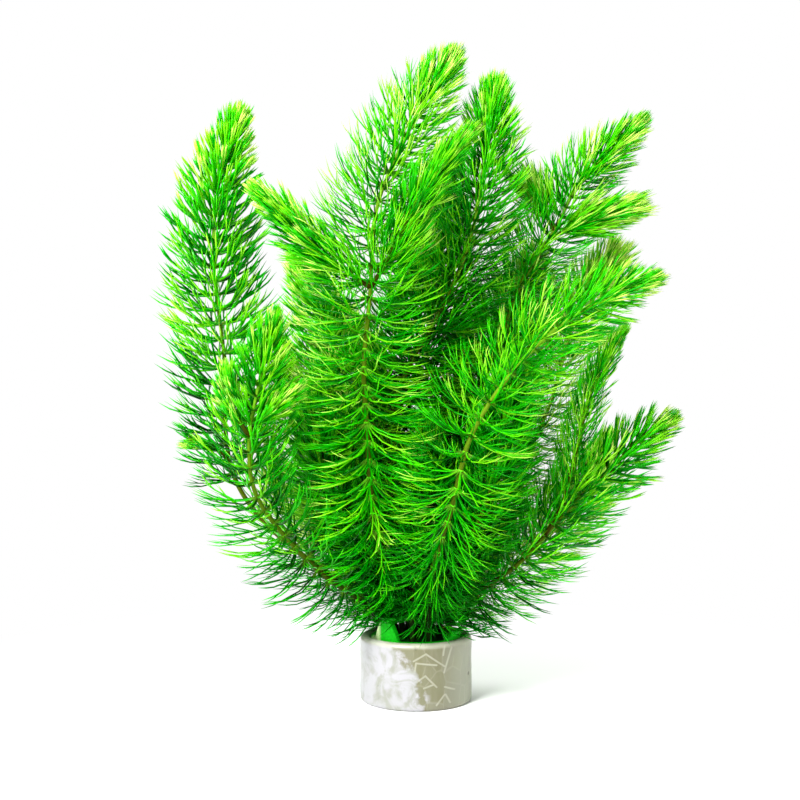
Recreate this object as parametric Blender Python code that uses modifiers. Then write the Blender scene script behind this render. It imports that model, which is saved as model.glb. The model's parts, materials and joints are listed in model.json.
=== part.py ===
"""A bunch of hornwort in a short ceramic ring, with a foam strip round the feet of the stems.

Each stem or side shoot is one closed solid: a thin stem that carries tiers of pointed lobes, one tier for
about two whorls of needle leaves. The lobes reach to where the leaf tips are. The foot of the object is at
z = 0 and the ring's axis is the Z axis. -Y is the front.
"""
import math
import random

import bmesh
import bpy
from mathutils import Matrix, Vector
from mathutils.bvhtree import BVHTree
from mathutils.geometry import interpolate_bezier
from mathutils.kdtree import KDTree

MM = 0.001
COLLECTION = "hornwort"

# Ceramic ring
RING_OUTER_RADIUS = 19.0 * MM
RING_INNER_RADIUS = 15.5 * MM
RING_HEIGHT = 22.0 * MM
RING_EDGE = 1.5 * MM          # radius of the rounded edges, top and bottom
RING_FOOT_EDGE = 1.0 * MM     # radius of the outer edge at the foot
RING_STEPS = 32
EDGE_STEPS = 2
MERGE_DISTANCE = 0.01 * MM

# Foam strip
GAP = 0.3 * MM
FOAM_RADIUS = RING_INNER_RADIUS - GAP
FOAM_BOTTOM = 0.8 * MM
FOAM_TOP = 20.5 * MM
FOAM_LIP = 21.6 * MM          # height of the outer turn of the strip
FOAM_LIP_INNER = 12.8 * MM    # inner radius of the outer turn
FOAM_LIP_ROUND = 0.5 * MM
FOAM_STEPS = 40
# (middle angle, half width, height above the lip) of the tongues that stand above the rim
FOAM_TONGUES = ((226.0, 19.0, 7.0 * MM), (334.0, 19.0, 2.4 * MM))
TONGUE_BLUNTNESS = 0.6        # less than 1 makes the tongues rounder than a cosine wave

# Stems
STEM_FOOT = 6.0 * MM          # height of the cut end of each main stem, inside the foam
STEM_RADIUS = 1.1 * MM
STEM_TIP_RADIUS = 0.5 * MM
BRANCH_RADIUS = 0.8 * MM
HOLE_RADIUS = 1.52 * MM
HOLE_SIDES = 8
OUTER_FEET = 10.8 * MM        # radius of the circle of the outer stem feet
INNER_FEET = 5.0 * MM
FREE_HEIGHT = 21.0 * MM       # the stems are straight below this height

# Whorls
LOBES = 5
BRANCH_LOBES = 4
TIER_SPACING = 18.0 * MM      # along the lower stem
TIP_SPACING = 7.5 * MM        # at the tip
LEAF_REACH = 21.0 * MM        # distance of the leaf tips from the stem on an old whorl
TIP_REACH = 5.0 * MM          # the same at the tip of a shoot
REACH_GROWTH = 27.0 * MM      # length over which the leaves grow from the tip downwards
OLD_LEAN = 70.0               # angle between leaf and stem, in degrees, far from the tip
TIP_LEAN = 20.0
LEAN_GROWTH = 40.0 * MM
VALLEY = 0.52                 # reach of the valley between two lobes
NECK = 0.32                   # stem and leaf feet between two tiers, as a part of the reach
LEAF_FLOOR = 24.0 * MM        # no leaf hangs below this height
RAGGED = 0.07                 # random part of each lobe's reach
SEED = 7

# Routes, and the space that each shoot keeps to
ROUTE_STEP = 1.5 * MM
CURVE_SAMPLES = 12
STEM_BARE = 22.0 * MM         # length of bare stem above the foot, most of it inside the foam
BRANCH_BARE = 6.0 * MM
TIP_BARE = 15.0 * MM          # the topmost tier grows this far below the tip and reaches almost up to it
SHORT_TIP = 0.4               # the same on a short shoot, as a part of its length
SPACING_GROWTH = 70.0 * MM    # length over which the tiers move apart
FORK_CLEARANCE = STEM_RADIUS + GAP + BRANCH_RADIUS
LEAST_FORK = 0.35             # sine of the smallest angle that a side shoot is taken to leave at
CLEARANCE = 0.2 * MM          # each shoot's distance from the middle between it and its neighbour
TONGUE_CLEARANCE = 1.5 * MM
LEAST_STEM = 0.7              # a stem is drawn in to no less than this part of its radius
CLIP_STEPS = 24
EASE = 0.9
EASE_ROUNDS = 30

FOAM_ROUGHNESS = 0.85
LEAF_ROUGHNESS = 0.5
COLOURS = {
    "ring": ((0.60, 0.60, 0.50), 0.35),
    "foam": ((0.10, 0.45, 0.05), FOAM_ROUGHNESS),
    "stem": ((0.08, 0.40, 0.02), LEAF_ROUGHNESS),
    "branch": ((0.20, 0.56, 0.05), LEAF_ROUGHNESS),
}

# Main stems: radius and angle of the foot's place, reach of the leaves against LEAF_REACH, and the points
# that the stem passes above the foam, in millimetres. The last point is the tip.
STEMS = {
    "stem_left_tall": (OUTER_FEET, 176, 1.0, [
        (-17, 5, 30), (-35, 8, 44), (-53, 10, 59), (-63, 10, 74), (-66, 8, 92), (-66, 8, 112), (-68, 8, 130),
        (-70, 8, 148), (-69, 8, 171), (-65, 8, 188), (-59, 6, 204)]),
    "stem_left_low": (OUTER_FEET, 198, 0.95, [
        (-16, -7, 32), (-30, -12, 43), (-45, -20, 60), (-52, -25, 73), (-53, -28, 89), (-50, -30, 105),
        (-47, -32, 118), (-43, -34, 131)]),
    "stem_centre_tall": (INNER_FEET, 262, 1.0, [
        (-6, -8, 38), (-12, -14, 55), (-15, -19, 74), (-16, -22, 92), (-17, -22, 111), (-15, -18, 137),
        (-13, -14, 164), (-4, -8, 188), (5, -4, 205), (15, 0, 222)]),
    "stem_centre_mid": (INNER_FEET, 200, 0.95, [
        (-5, 0, 36), (-7, 3, 60), (-9, 4, 81), (-7, 4, 101), (0, 4, 117), (10, 4, 135), (17, 4, 151),
        (21, 4, 166), (24, 4, 187), (28, 2, 213)]),
    "stem_right_reach": (OUTER_FEET, 292, 0.85, [
        (4, -15, 38), (7, -24, 54), (11, -32, 68), (13, -36, 78), (16, -38, 89), (22, -38, 100),
        (32, -36, 113), (44, -34, 124), (60, -32, 134), (79, -28, 141)]),
    "stem_right_upper": (INNER_FEET, 10, 0.8, [
        (8, 4, 38), (16, 9, 63), (25, 12, 94), (30, 12, 122), (36, 12, 140), (43, 12, 152), (50, 12, 163),
        (57, 10, 177), (69, 8, 189), (81, 5, 200)]),
    "stem_right_low": (OUTER_FEET, 345, 0.9, [
        (12, -3, 29), (18, -4, 35), (26, -5, 40), (36, -6, 48), (46, -6, 59), (57, -6, 71), (66, -5, 79),
        (77, -3, 89), (90, 0, 97)]),
    "stem_left_mid": (INNER_FEET, 140, 0.9, [
        (-10, 9, 36), (-20, 16, 59), (-28, 19, 87), (-30, 18, 110), (-31, 15, 124), (-35, 12, 138),
        (-42, 10, 151)]),
    "stem_right_mid": (OUTER_FEET, 43, 0.9, [
        (12, 12, 34), (25, 22, 54), (39, 29, 77), (50, 31, 101), (57, 28, 127), (63, 23, 141),
        (73, 17, 155)]),
    "stem_inner_left": (0.0, 0, 0.9, [
        (-3, -3, 34), (-10, -5, 46), (-20, -6, 58), (-29, -6, 72), (-33, -6, 90), (-35, -7, 108)]),
    "stem_inner_middle": (OUTER_FEET, 262, 0.85, [
        (-1, -12, 36), (1, -14, 52), (3, -15, 70), (4, -15, 84), (5, -15, 98)]),
    "stem_inner_right": (INNER_FEET, 316, 0.9, [
        (7, -5, 36), (15, -9, 50), (22, -12, 66), (27, -13, 84), (30, -14, 102), (34, -14, 120)]),
    "stem_left_back": (OUTER_FEET, 128, 0.85, [
        (-11, 13, 34), (-26, 24, 50), (-37, 30, 68), (-43, 32, 86), (-46, 31, 103), (-50, 28, 128)]),
    "stem_back_tall": (INNER_FEET, 80, 0.9, [
        (1, 12, 38), (2, 24, 64), (4, 31, 101), (6, 34, 139), (9, 33, 168), (14, 29, 188)]),
    "stem_back_left": (OUTER_FEET, 102, 0.85, [
        (-5, 17, 35), (-13, 30, 56), (-20, 38, 86), (-24, 40, 109), (-28, 39, 131)]),
    "stem_back_right": (OUTER_FEET, 70, 0.85, [
        (7, 18, 35), (16, 30, 56), (25, 37, 86), (32, 39, 113), (39, 38, 138), (45, 36, 156)]),
    "stem_back_low_right": (OUTER_FEET, 15, 0.85, [
        (17, 9, 31), (33, 19, 40), (50, 28, 53), (64, 33, 70), (71, 33, 87)]),
    "stem_back_low_left": (OUTER_FEET, 152, 0.85, [
        (-17, 12, 31), (-31, 23, 39), (-44, 31, 52), (-51, 34, 69), (-54, 33, 88)]),
}

# Side shoots: the stem that carries it, reach of the leaves, and the points that it passes, in millimetres.
# The first point is at the fork.
BRANCHES = {
    "branch_centre_left": ("stem_centre_tall", 0.62, [
        (-15, -18, 137), (-23, -20, 143), (-31, -22, 149), (-42, -24, 160), (-54, -26, 171)]),
    "branch_centre_right": ("stem_centre_tall", 0.7, [
        (-15, -18, 137), (-9, -23, 147), (0, -27, 164), (9, -29, 177), (20, -30, 189)]),
    "branch_right_upper_left": ("stem_right_upper", 0.5, [
        (49, 12, 161), (44, 14, 170), (37, 16, 181)]),
    "branch_right_upper_side": ("stem_right_upper", 0.5, [
        (47, 12, 158), (57, 8, 162), (66, 6, 165), (76, 4, 167)]),
    "branch_right_low": ("stem_right_low", 0.7, [
        (43, -6, 55), (49, -10, 68), (53, -12, 86), (57, -12, 102), (63, -12, 116), (70, -12, 127)]),
    "branch_left_side": ("stem_left_tall", 0.5, [
        (-65, 9, 82), (-71, 4, 85), (-81, 0, 85)]),
    "branch_left_inner": ("stem_left_low", 0.6, [
        (-53, -28, 90), (-58, -32, 100), (-59, -35, 114)]),
    "branch_left_outer": ("stem_left_low", 0.6, [
        (-53, -28, 91), (-45, -33, 98), (-34, -36, 107)]),
}


def clear_scene():
    """Remove every object and collection."""
    for item in list(bpy.data.objects):
        bpy.data.objects.remove(item, do_unlink=True)
    for group in list(bpy.data.collections):
        bpy.data.collections.remove(group)


def make_collection(name):
    """Return a new collection in the scene."""
    group = bpy.data.collections.new(name)
    bpy.context.scene.collection.children.link(group)
    return group


def make_material(name, colour, roughness):
    """Return a plain Principled material."""
    material = bpy.data.materials.new(name)
    material.use_nodes = True
    shader = material.node_tree.nodes["Principled BSDF"]
    shader.inputs["Base Color"].default_value = (*colour, 1.0)
    shader.inputs["Roughness"].default_value = roughness
    shader.inputs["Metallic"].default_value = 0.0
    return material


def add_object(name, mesh, group, kind):
    """Put a mesh in the scene under a name, with its material."""
    colour, roughness = COLOURS[kind]
    mesh.materials.append(make_material(name, colour, roughness))
    item = bpy.data.objects.new(name, mesh)
    group.objects.link(item)
    return item


def arc(centre, radius, start, end, steps):
    """Points of an arc in the profile plane, angles in degrees."""
    turn = [math.radians(start + (end - start) * i / steps) for i in range(steps + 1)]
    return [(centre[0] + radius * math.cos(a), centre[1] + radius * math.sin(a)) for a in turn]


def make_ring(group):
    """The ceramic ring: a wall with rounded edges, turned about Z."""
    edge, foot = RING_EDGE, RING_FOOT_EDGE
    outer, inner, top = RING_OUTER_RADIUS, RING_INNER_RADIUS, RING_HEIGHT
    profile = arc((outer - edge, top - edge), edge, 90, 0, EDGE_STEPS)
    profile += arc((outer - foot, foot), foot, 0, -90, EDGE_STEPS)
    profile += [(inner + foot, 0.0), (inner, foot)]
    profile += arc((inner + edge, top - edge), edge, 180, 90, EDGE_STEPS)
    mesh = bpy.data.meshes.new("ring")
    edges = [(i, (i + 1) % len(profile)) for i in range(len(profile))]
    mesh.from_pydata([(x, 0.0, z) for x, z in profile], edges, [])
    item = add_object("ring", mesh, group, "ring")
    screw = item.modifiers.new("turn", "SCREW")
    screw.axis = "Z"
    screw.steps = RING_STEPS
    screw.render_steps = RING_STEPS
    screw.use_merge_vertices = True
    screw.merge_threshold = MERGE_DISTANCE
    screw.use_smooth_shade = True
    return item


def lip_height(angle):
    """Height of the foam's outer turn at an angle in degrees, with its two tongues."""
    height = FOAM_LIP
    for middle, half_width, rise in FOAM_TONGUES:
        away = abs((angle - middle + 180.0) % 360.0 - 180.0)
        if away < half_width:
            height += rise * math.cos(math.pi / 2 * away / half_width) ** TONGUE_BLUNTNESS
    return height


def make_foam(group, cutters, feet):
    """The foam plug with its raised outer turn, and a blind hole for each stem."""
    shape = bmesh.new()
    rounding = FOAM_LIP_ROUND
    rings = []
    for level in range(6):
        ring = []
        for step in range(FOAM_STEPS):
            angle = 360.0 * step / FOAM_STEPS
            lip = lip_height(angle)
            radius, height = (
                (FOAM_RADIUS, FOAM_BOTTOM),
                (FOAM_RADIUS, lip - rounding),
                (FOAM_RADIUS - rounding, lip),
                (FOAM_LIP_INNER + rounding, lip),
                (FOAM_LIP_INNER, lip - rounding),
                (FOAM_LIP_INNER, FOAM_TOP))[level]
            turn = math.radians(angle)
            ring.append(shape.verts.new((radius * math.cos(turn), radius * math.sin(turn), height)))
        rings.append(ring)
    bridge(shape, rings)
    shape.faces.new(list(reversed(rings[0])))
    shape.faces.new(rings[-1])
    mesh = bpy.data.meshes.new("foam")
    shape.to_mesh(mesh)
    shape.free()
    item = add_object("foam", mesh, group, "foam")

    holes = bmesh.new()
    depth = RING_HEIGHT - STEM_FOOT + GAP
    for x, y in feet:
        place = Matrix.Translation((x, y, STEM_FOOT - GAP + depth / 2))
        bmesh.ops.create_cone(holes, cap_ends=True, segments=HOLE_SIDES, radius1=HOLE_RADIUS,
                              radius2=HOLE_RADIUS, depth=depth, matrix=place)
    hole_mesh = bpy.data.meshes.new("stem_holes")
    holes.to_mesh(hole_mesh)
    holes.free()
    cutter = bpy.data.objects.new("stem_holes", hole_mesh)
    cutter.hide_render = True
    cutter.display_type = "WIRE"
    cutters.objects.link(cutter)
    cut = item.modifiers.new("stem_holes", "BOOLEAN")
    cut.operation = "DIFFERENCE"
    cut.solver = "EXACT"
    cut.object = cutter
    return item


def bridge(shape, rings):
    """Join consecutive rings of equal length with faces that point out of a ring pile going up."""
    for lower, upper in zip(rings, rings[1:]):
        count = len(lower)
        for i in range(count):
            j = (i + 1) % count
            shape.faces.new((lower[i], lower[j], upper[j], upper[i]))


def smooth_route(points):
    """A smooth curve through the points, as samples that lie ROUTE_STEP apart."""
    last = len(points) - 1
    gaps = [(b - a).length for a, b in zip(points, points[1:])]
    slopes = [(points[1] - points[0]) / gaps[0]]
    for i in range(1, last):
        slopes.append((points[i + 1] - points[i - 1]) / (gaps[i - 1] + gaps[i]))
    slopes.append((points[last] - points[last - 1]) / gaps[last - 1])
    dense = []
    for i in range(last):
        reach = gaps[i] / 3
        dense += interpolate_bezier(points[i], points[i] + slopes[i] * reach,
                                    points[i + 1] - slopes[i + 1] * reach, points[i + 1], CURVE_SAMPLES)[:-1]
    dense.append(points[last])
    return even_steps(dense)


def even_steps(dense):
    """Sample a polyline every ROUTE_STEP, both ends included."""
    along = [0.0]
    for a, b in zip(dense, dense[1:]):
        along.append(along[-1] + (b - a).length)
    count = max(2, round(along[-1] / ROUTE_STEP))
    samples = []
    place = 0
    for i in range(count + 1):
        target = along[-1] * i / count
        while place < len(along) - 2 and along[place + 1] < target:
            place += 1
        part = (target - along[place]) / (along[place + 1] - along[place])
        samples.append(dense[place].lerp(dense[place + 1], part))
    return samples


class Shoot:
    """A stem or side shoot: its route, the frames along it and the rings of its skin."""

    def __init__(self, name, points, kind, radius, reach, lobes, bare):
        self.name = name
        self.kind = kind
        self.radius = radius
        self.reach = reach
        self.sides = 2 * lobes
        self.bare = bare
        self.points = smooth_route(points)
        self.step = (self.points[1] - self.points[0]).length
        self.length = self.step * (len(self.points) - 1)
        self.tip_bare = min(TIP_BARE, SHORT_TIP * self.length)
        self.frames = self.make_frames()
        self.tree = tree_of([(point, None) for point in self.points])
        self.spokes = []      # (root on the stem, full offset, kept part of it, least part) of each vertex
        self.faces = []

    def make_frames(self):
        """Tangent, side and up at each sample, carried along without twist."""
        frames = []
        side = None
        for i in range(len(self.points)):
            before = self.points[max(i - 1, 0)]
            after = self.points[min(i + 1, len(self.points) - 1)]
            tangent = (after - before).normalized()
            if side is None:
                side = tangent.orthogonal().normalized()
            side = (side - tangent * side.dot(tangent)).normalized()
            frames.append((tangent, side, tangent.cross(side)))
        return frames

    def frame_at(self, along):
        """Point, tangent, side and up at a distance along the route."""
        place = min(max(along / self.step, 0.0), len(self.points) - 1.0)
        low = min(int(place), len(self.points) - 2)
        part = place - low
        point = self.points[low].lerp(self.points[low + 1], part)
        tangent, side, up = (a.lerp(b, part).normalized()
                             for a, b in zip(self.frames[low], self.frames[low + 1]))
        return point, tangent, side, up

    def stem_radius(self, along):
        """The stem narrows evenly towards the tip."""
        return self.radius + (STEM_TIP_RADIUS - self.radius) * along / self.length

    def tier_places(self):
        """Distances of the tiers' roots along the route, closer together towards the tip."""
        places = []
        along = self.length - self.tip_bare
        while along > self.bare + STEM_RADIUS:
            places.append(along)
            age = min((self.length - along) / SPACING_GROWTH, 1.0)
            along -= TIP_SPACING + (TIER_SPACING - TIP_SPACING) * age
        return places[::-1]

    def leaf_shape(self, along):
        """Reach of the leaves that grow at a distance along the route, and the cotangent of their lean."""
        age = max(self.length - along - self.tip_bare, 0.0)
        reach = TIP_REACH + (LEAF_REACH * self.reach - TIP_REACH) * (1 - math.exp(-age / REACH_GROWTH))
        lean = TIP_LEAN + (OLD_LEAN - TIP_LEAN) * (1 - math.exp(-age / LEAN_GROWTH))
        return reach, 1 / math.tan(math.radians(lean))

    def add_ring(self, along, reaches, push, least):
        """Add one ring of the skin, with a reach for each side and a push forwards that grows with it."""
        point, tangent, side, up = self.frame_at(along)
        for i, reach in enumerate(reaches):
            turn = math.tau * i / self.sides
            outward = side * math.cos(turn) + up * math.sin(turn)
            offset = (outward + tangent * push) * reach
            self.spokes.append([point, offset, 1.0, least / reach])

    def build_rings(self, rng):
        """The skin from the foot to the tip: a bare stem, then a neck and a crown of lobes for each tier."""
        sides = self.sides
        bare_rings = [0.0, FREE_HEIGHT - STEM_FOOT, self.bare] if self.kind == "stem" else [0.0, self.bare]
        for along in bare_rings:
            self.add_ring(along, [self.stem_radius(along)] * sides, 0.0, self.stem_radius(along))
        for number, along in enumerate(self.tier_places()):
            reach, push = self.leaf_shape(along)
            stem = self.stem_radius(along)
            neck = stem if number == 0 else max(stem, NECK * reach)
            self.add_ring(along, [neck] * sides, 0.0, stem * LEAST_STEM)
            crown = []
            for i in range(sides):
                is_lobe = (i + number) % 2 == 0
                part = 1.0 if is_lobe else VALLEY
                crown.append(reach * part * (1 + rng.uniform(-RAGGED, RAGGED)))
            self.add_ring(along, crown, push, stem)
        self.spokes.append([self.points[-1], Vector((0.0, 0.0, 0.0)), 1.0, 1.0])
        self.add_faces()

    def add_faces(self):
        """Triangles between neighbouring rings, the cut end and the fan at the tip."""
        sides = self.sides
        rings = (len(self.spokes) - 1) // sides
        for ring in range(rings - 1):
            for i in range(sides):
                j = (i + 1) % sides
                low_i, low_j = ring * sides + i, ring * sides + j
                top_i, top_j = low_i + sides, low_j + sides
                self.faces += [(low_i, low_j, top_j), (low_i, top_j, top_i)]
        tip = len(self.spokes) - 1
        for i in range(sides):
            j = (i + 1) % sides
            self.faces.append((tip - sides + i, tip - sides + j, tip))
            if 0 < i < sides - 1:
                self.faces.append((0, j, i))

    def vertices(self, extra=0.0):
        """Places of the skin's vertices, moved outwards by an extra distance."""
        places = []
        for root, offset, kept, _ in self.spokes:
            grown = offset.normalized() * extra if extra else Vector((0.0, 0.0, 0.0))
            places.append(root + offset * kept + grown)
        return places

    def clip(self, others):
        """Shorten each spoke to the part that is nearer to this stem than to any neighbour."""
        for spoke in self.spokes:
            root, offset, _, least = spoke
            if least >= 1.0:
                continue
            kept = least
            for i in range(1, CLIP_STEPS + 1):
                part = least + (1.0 - least) * i / CLIP_STEPS
                if not self.is_free(root + offset * part, others):
                    break
                kept = part
            spoke[2] = kept

    def is_free(self, place, others):
        """Whether a place lies on this shoot's side of its neighbours and clear of the ring and foam."""
        own = self.tree.find(place)[2] - self.radius
        _, index, distance = others["tree"].find(place)
        other = distance - others["radii"][index]
        if own > other - 2 * CLEARANCE:
            return False
        return place.z > LEAF_FLOOR and not near_tongue(place)

    def make_object(self, group):
        """The shoot as one closed solid."""
        mesh = bpy.data.meshes.new(self.name)
        mesh.from_pydata([tuple(place) for place in self.vertices()], [], self.faces)
        return add_object(self.name, mesh, group, self.kind)


def tree_of(samples):
    """A search tree over (point, anything) pairs."""
    tree = KDTree(len(samples))
    for index, (point, _) in enumerate(samples):
        tree.insert(point, index)
    tree.balance()
    return tree


def near_tongue(place):
    """Whether a place lies in or just above the raised outer turn of the foam."""
    radius = math.hypot(place.x, place.y)
    if not FOAM_LIP_INNER - TONGUE_CLEARANCE < radius < RING_INNER_RADIUS + TONGUE_CLEARANCE:
        return False
    angle = math.degrees(math.atan2(place.y, place.x)) % 360.0
    return place.z < lip_height(angle) + TONGUE_CLEARANCE


def make_shoots():
    """The stems, then the side shoots, each of which starts beside the stem that carries it."""
    shoots = {}
    for name, (circle, angle, reach, way) in STEMS.items():
        turn = math.radians(angle)
        x, y = circle * math.cos(turn), circle * math.sin(turn)
        points = [Vector((x, y, STEM_FOOT)), Vector((x, y, (STEM_FOOT + FREE_HEIGHT) / 2)),
                  Vector((x, y, FREE_HEIGHT))]
        points += [Vector(point) * MM for point in way]
        shoots[name] = Shoot(name, points, "stem", STEM_RADIUS, reach, LOBES, STEM_BARE)
    for name, (parent, reach, way) in BRANCHES.items():
        points = [Vector(point) * MM for point in way]
        fork, place, _ = shoots[parent].tree.find(points[0])
        direction = (points[1] - fork).normalized()
        angle = max(direction.cross(shoots[parent].frames[place][0]).length, LEAST_FORK)
        points[0] = fork + direction * FORK_CLEARANCE / angle
        shoots[name] = Shoot(name, points, "branch", BRANCH_RADIUS, reach, BRANCH_LOBES, BRANCH_BARE)
    return list(shoots.values())


def share_space(shoots):
    """Give each shoot its own space, so that no two of them meet."""
    for shoot in shoots:
        samples = [(point, other.radius) for other in shoots if other is not shoot for point in other.points]
        shoot.clip({"tree": tree_of(samples), "radii": [radius for _, radius in samples]})
    for _ in range(EASE_ROUNDS):
        trees = [BVHTree.FromPolygons(shoot.vertices(CLEARANCE), shoot.faces) for shoot in shoots]
        touched = 0
        for a, first in enumerate(shoots):
            for b in range(a + 1, len(shoots)):
                for face_a, face_b in trees[a].overlap(trees[b]):
                    touched += shorten(first, face_a) + shorten(shoots[b], face_b)
        if not touched:
            break


def shorten(shoot, face):
    """Draw the corners of a face a little towards the stem, and count those that could move."""
    moved = 0
    for corner in shoot.faces[face]:
        spoke = shoot.spokes[corner]
        if spoke[2] > spoke[3]:
            spoke[2] = max(spoke[3], spoke[2] * EASE)
            moved += 1
    return moved


def main():
    """Make every piece in the part's own collection."""
    clear_scene()
    group = make_collection(COLLECTION)
    cutters = make_collection("cutters")
    rng = random.Random(SEED)
    shoots = make_shoots()
    for shoot in shoots:
        shoot.build_rings(rng)
    share_space(shoots)
    make_ring(group)
    make_foam(group, cutters, [shoot.points[0].xy for shoot in shoots if shoot.kind == "stem"])
    for shoot in shoots:
        shoot.make_object(group)


main()
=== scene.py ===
import json
import math
import random

import bmesh
import bpy
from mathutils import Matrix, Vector, noise
from mathutils.geometry import interpolate_bezier

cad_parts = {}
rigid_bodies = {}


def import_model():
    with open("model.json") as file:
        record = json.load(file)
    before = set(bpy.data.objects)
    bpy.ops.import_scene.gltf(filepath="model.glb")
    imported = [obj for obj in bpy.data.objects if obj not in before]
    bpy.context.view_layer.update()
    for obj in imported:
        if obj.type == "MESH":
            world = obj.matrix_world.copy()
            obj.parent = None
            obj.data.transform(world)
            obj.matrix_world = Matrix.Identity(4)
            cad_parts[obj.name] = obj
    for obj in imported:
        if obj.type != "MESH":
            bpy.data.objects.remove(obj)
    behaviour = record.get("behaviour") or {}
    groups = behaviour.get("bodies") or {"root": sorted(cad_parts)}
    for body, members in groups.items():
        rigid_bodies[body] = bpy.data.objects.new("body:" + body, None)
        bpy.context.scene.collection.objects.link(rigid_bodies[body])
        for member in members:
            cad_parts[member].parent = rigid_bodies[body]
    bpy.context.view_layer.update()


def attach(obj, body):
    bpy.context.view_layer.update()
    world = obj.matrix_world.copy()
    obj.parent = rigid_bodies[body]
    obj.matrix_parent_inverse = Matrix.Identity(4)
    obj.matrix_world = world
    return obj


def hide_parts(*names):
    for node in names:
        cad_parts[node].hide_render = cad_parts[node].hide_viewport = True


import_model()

MM = 0.001
DEGREE = math.radians(1.0)

# Ring and foam, as in the frame
RING_OUTER = 19.0 * MM
RING_INNER = 15.5 * MM
RING_HEIGHT = 22.0 * MM
RING_RIM = 1.6 * MM           # radius of the rounded rim
RING_FOOT = 1.2 * MM          # radius of the edges at the foot
RING_STEPS = 200
RING_WALL_STEPS = 24
RIM_STEPS = 6
EDGE_STEPS = 4                # steps of the edges at the ring's foot and of the foam's lip
RING_WAVE = 0.12 * MM         # unevenness of the hand-made wall
BROAD_WAVES = 2.5
FINE_WAVES = 7.0
FINE_SHARE = 0.5              # height of the fine waves, for broad ones of height 1
WAVE_SINK = 0.8               # lowers the waves, so that they hardly pass the true wall
FOAM_RADIUS = 15.2 * MM
FOAM_BOTTOM = 0.8 * MM
FOAM_TOP = 20.5 * MM
FOAM_LIP = 21.6 * MM
FOAM_LIP_INNER = 12.8 * MM
FOAM_LIP_ROUND = 0.6 * MM
FOAM_STEPS = 180
FOAM_WALL_STEPS = 12
FOAM_TOP_RINGS = (1.0, 0.85, 0.7, 0.55, 0.4, 0.25, 0.1)
# Tongues of the foam's outer turn: angle of the middle, half width in degrees, rise
FOAM_TONGUES = ((226.0, 19.0, 7.0 * MM), (334.0, 19.0, 2.4 * MM))
TONGUE_FULLNESS = 0.6         # below 1 a tongue is blunter than a cosine wave

# Routes of the shoots
OUTER_FEET = 10.8 * MM
INNER_FEET = 5.0 * MM
STEM_FOOT = 6.0 * MM
FREE_HEIGHT = 21.0 * MM
ROUTE_STEP = 1.5 * MM
CURVE_SAMPLES = 12
STALK_END = 9.0 * MM          # the stalk ends this far below the tips of its topmost leaves

# Stalks
STALK_RADIUS = 1.0 * MM
BRANCH_RADIUS = 0.75 * MM
STALK_TIP_RADIUS = 0.5 * MM
STALK_SIDES = 8

# Leaves
LEAF_FORMS = 6                # different leaves in each age group
LEAF_WIDTHS = {"fine": 1.0, "coarse": 1.3, "broad": 1.7}
TONE_STRAY = 0.06             # the tone of whole shoots strays this far at most
SEED = 11

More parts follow.
